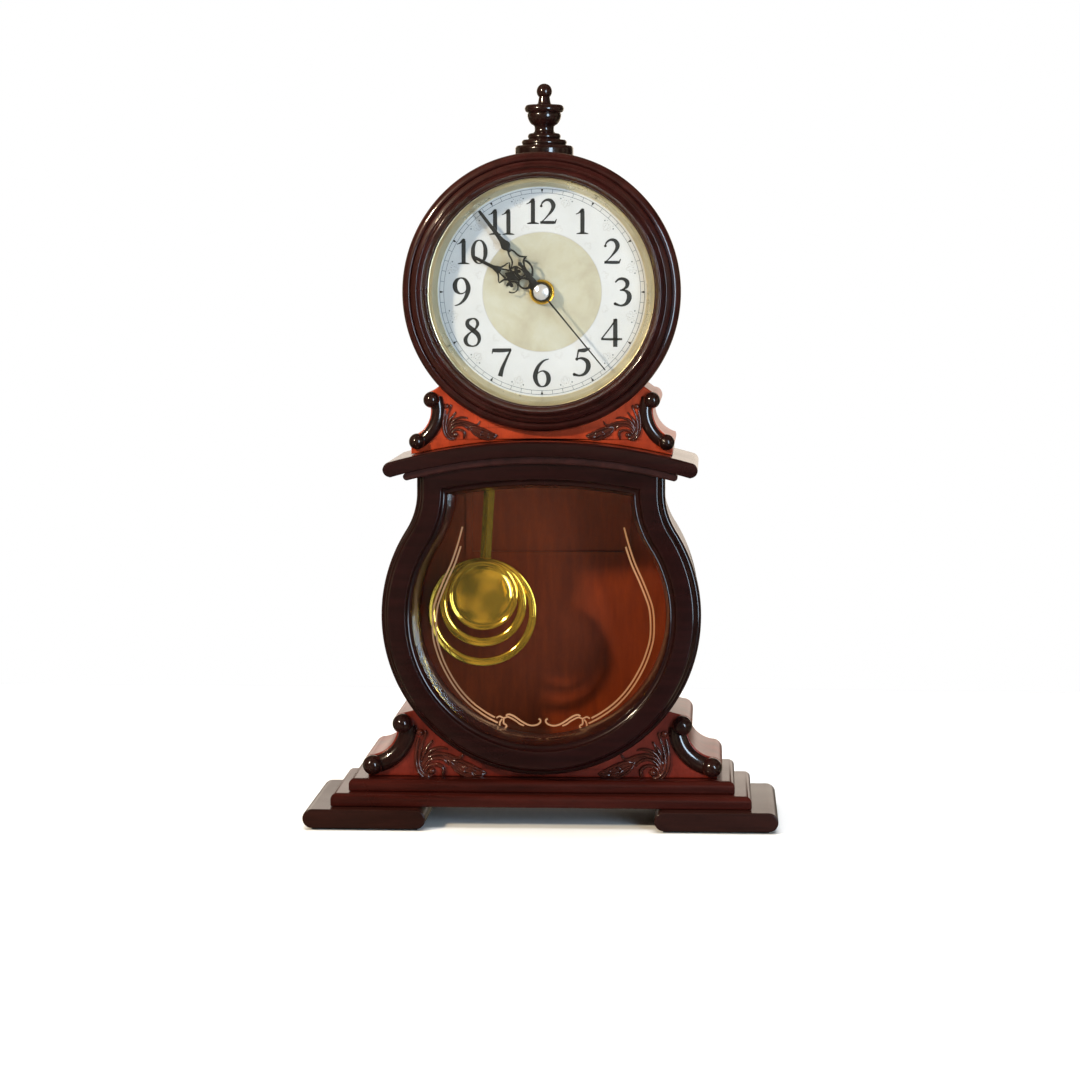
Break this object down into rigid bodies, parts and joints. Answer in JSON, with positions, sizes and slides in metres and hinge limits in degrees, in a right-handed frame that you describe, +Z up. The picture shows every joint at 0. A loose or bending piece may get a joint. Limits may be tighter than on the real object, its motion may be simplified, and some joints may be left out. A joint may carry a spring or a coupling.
{
  "type": "mantel clock",
  "caption": "Mantel clock with a round glazed dial, arched cornice, pot-bellied pendulum case with a keyhole window, carved brackets, stepped base and block feet.",
  "frame": {"origin": "on the floor under the middle of the clock's bounding box", "axes": "+Z up, the dial faces -Y, +X to the right of a person who looks at the dial"},
  "size_m": [0.268, 0.105, 0.42],
  "materials": {
    "foot_wood": "satin",
    "plinth_wood": "satin",
    "spandrel_wood": "gloss",
    "case_wood": "satin",
    "frame_wood": "satin",
    "bezel_wood": "satin",
    "gloss_wood": "gloss",
    "back_board": "matte",
    "clear_glass": "gloss",
    "dial_face": "satin",
    "rim_gold": "gloss",
    "hand_black": "satin",
    "cap_silver": "gloss",
    "brass": "polished",
    "steel": "satin",
    "magnet": "satin",
    "black_plastic": "matte",
    "white_plastic": "satin",
    "copper_wire": "gloss",
    "circuit": "satin",
    "battery_wrap": "gloss",
    "felt": "matte"
  },
  "bodies": {
    "case": {"felt_pads": "felt", "left_foot": "foot_wood", "right_foot": "foot_wood", "lower_plinth": "plinth_wood", "upper_plinth": "plinth_wood", "lower_spandrel": "spandrel_wood", "belly_case": "case_wood", "front_frame": "frame_wood", "front_glass": "clear_glass", "cornice_upper": "frame_wood", "cornice_lower": "case_wood", "upper_spandrel": "spandrel_wood", "head_drum": "case_wood", "bezel": "bezel_wood", "dial_glass": "clear_glass", "dial_rim": "rim_gold", "dial_plate": "dial_face", "dial_board": "back_board", "finial": "gloss_wood", "left_upper_scroll": "gloss_wood", "right_upper_scroll": "gloss_wood", "left_lower_scroll": "gloss_wood", "right_lower_scroll": "gloss_wood", "upper_leaf_carvings": "gloss_wood", "lower_leaf_carvings": "gloss_wood", "back_panel": "back_board", "panel_screws": "brass", "case_hinge_leaves": "brass", "hinge_pins": "steel", "catch_magnet": "magnet", "movement_front": "black_plastic", "movement_back": "black_plastic", "train_plate": "white_plastic", "mounting_nut": "brass", "drive_coil": "copper_wire", "stator": "steel", "circuit_and_contacts": "circuit", "battery": "battery_wrap", "pendulum_drive": "black_plastic", "pendulum_axle": "steel"},
    "rotor_body": {"rotor": "magnet"},
    "intermediate_body": {"intermediate_wheel": "white_plastic"},
    "seconds_body": {"seconds_wheel": "white_plastic", "second_hand": "hand_black", "hand_cap": "cap_silver"},
    "third_body": {"third_wheel": "white_plastic"},
    "centre_body": {"centre_wheel": "white_plastic"},
    "minutes_body": {"cannon_pinion": "white_plastic", "minute_hand": "hand_black"},
    "motion_body": {"minute_wheel": "white_plastic", "setting_knob": "black_plastic"},
    "hours_body": {"hour_wheel": "white_plastic", "hour_hand": "hand_black"},
    "pendulum_body": {"pendulum_hanger": "white_plastic", "pendulum_rod": "brass", "bob_rings": "brass", "bob_disc": "brass"},
    "door_body": {"rear_door": "back_board", "door_hinge_leaves": "brass", "door_knob": "brass"}
  },
  "joints": [
    {"name": "second_spin", "type": "hinge", "parent": "case", "child": "seconds_body", "pos_m": [0, 0, 0.3025], "axis": [0, 1, 0], "continuous": true},
    {"name": "intermediate_spin", "type": "hinge", "parent": "case", "child": "intermediate_body", "pos_m": [0.0036, 0, 0.30874], "axis": [0, 1, 0], "continuous": true},
    {"name": "rotor_spin", "type": "hinge", "parent": "case", "child": "rotor_body", "pos_m": [0.00668, 0, 0.31407], "axis": [0, 1, 0], "continuous": true},
    {"name": "third_spin", "type": "hinge", "parent": "case", "child": "third_body", "pos_m": [-0.00677, 0, 0.30004], "axis": [0, 1, 0], "continuous": true},
    {"name": "centre_spin", "type": "hinge", "parent": "case", "child": "centre_body", "pos_m": [0, 0, 0.3025], "axis": [0, 1, 0], "continuous": true},
    {"name": "minute_spin", "type": "hinge", "parent": "case", "child": "minutes_body", "pos_m": [0, 0, 0.3025], "axis": [0, 1, 0], "continuous": true},
    {"name": "motion_spin", "type": "hinge", "parent": "case", "child": "motion_body", "pos_m": [0.00902, 0, 0.29922], "axis": [0, 1, 0], "continuous": true},
    {"name": "hour_spin", "type": "hinge", "parent": "case", "child": "hours_body", "pos_m": [0, 0, 0.3025], "axis": [0, 1, 0], "continuous": true},
    {"name": "pendulum_swing", "type": "hinge", "parent": "case", "child": "pendulum_body", "pos_m": [-0.027, 0, 0.264], "axis": [0, -1, 0], "range_deg": [-2.7, 9.3]},
    {"name": "rear_door_swing", "type": "hinge", "parent": "case", "child": "door_body", "pos_m": [-0.0462, 0.0495, 0.247], "axis": [0, 0, 1], "range_deg": [0, 110]}
  ],
  "couplings": [
    {"joint": "intermediate_spin", "follows": "second_spin", "ratio": -5},
    {"joint": "rotor_spin", "follows": "second_spin", "ratio": 30},
    {"joint": "third_spin", "follows": "second_spin", "ratio": -0.125},
    {"joint": "centre_spin", "follows": "second_spin", "ratio": 0.016667},
    {"joint": "motion_spin", "follows": "minute_spin", "ratio": -0.33333},
    {"joint": "hour_spin", "follows": "minute_spin", "ratio": 0.083333}
  ]
}
